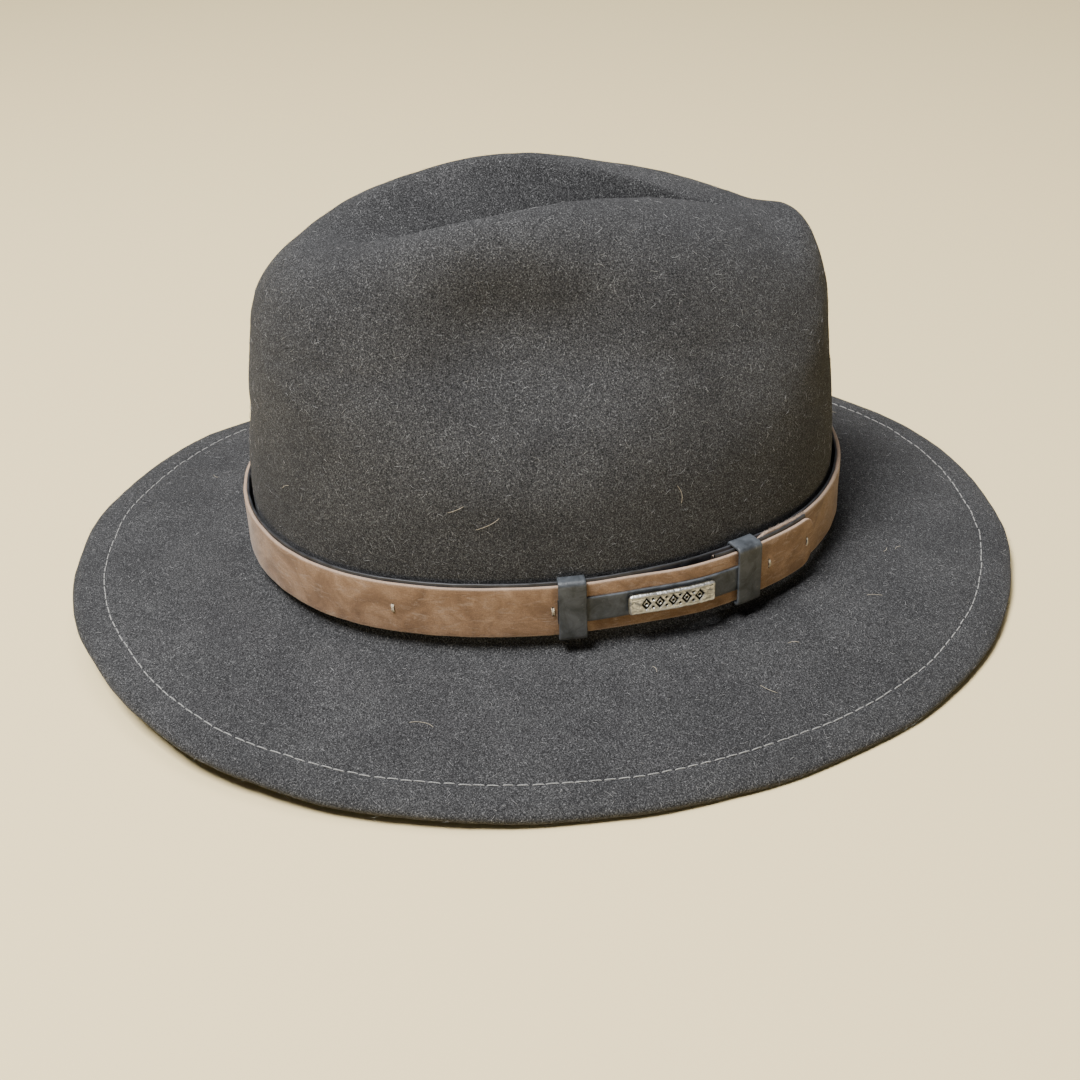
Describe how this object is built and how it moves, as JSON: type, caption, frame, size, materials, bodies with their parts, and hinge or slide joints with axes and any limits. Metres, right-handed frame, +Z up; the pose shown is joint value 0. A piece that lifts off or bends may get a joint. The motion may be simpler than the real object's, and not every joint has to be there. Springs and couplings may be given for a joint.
{
  "type": "fedora hat",
  "caption": "Felt fedora with a creased, side-pinched crown, stitched brim and a leather hatband with two sliding keepers and a metal badge bar.",
  "frame": {"origin": "on the surface the brim rests on, under the middle of the hat", "axes": "+Z up, -Y the way the wearer faces, +X the wearer's left"},
  "size_m": [0.2928, 0.3376, 0.1446],
  "materials": {
    "felt": "dense napped wool felt, matt",
    "thread_grey": "matt thread",
    "leather_brown": "distressed nubuck, matt",
    "leather_black": "smooth, satin",
    "pewter": "antiqued cast metal, satin",
    "thread_cream": "matt thread",
    "sweat_leather": "smooth, satin",
    "reed": "smooth, satin",
    "ribbon": "satin ribbon",
    "tag_cloth": "woven, matt"
  },
  "bodies": {
    "hat": {"felt_body": "felt", "brim_stitching_top": "thread_grey", "brim_stitching_under": "thread_grey", "band_backing": "leather_black", "band_leather": "leather_brown", "lap_backing": "leather_black", "badge_strap": "leather_black", "badge": "pewter", "band_tacks": "thread_cream", "sweatband": "sweat_leather", "sweatband_reed": "reed", "sweatband_stitching": "thread_cream", "sweatband_seam_tape": "ribbon", "sweatband_bow": "ribbon", "size_tag": "tag_cloth"},
    "keeper_front": {"keeper_front": "leather_black"},
    "keeper_rear": {"keeper_rear": "leather_black"}
  },
  "joints": [
    {"name": "keeper_front_slide", "type": "hinge", "parent": "hat", "child": "keeper_front", "pos_m": [-0.0604, 0, 0.0333], "axis": [0, 0, 1], "range_deg": [0, 5]},
    {"name": "keeper_rear_slide", "type": "hinge", "parent": "hat", "child": "keeper_rear", "pos_m": [-0.0604, 0, 0.0333], "axis": [0, 0, 1], "range_deg": [-3.3, 0]}
  ]
}
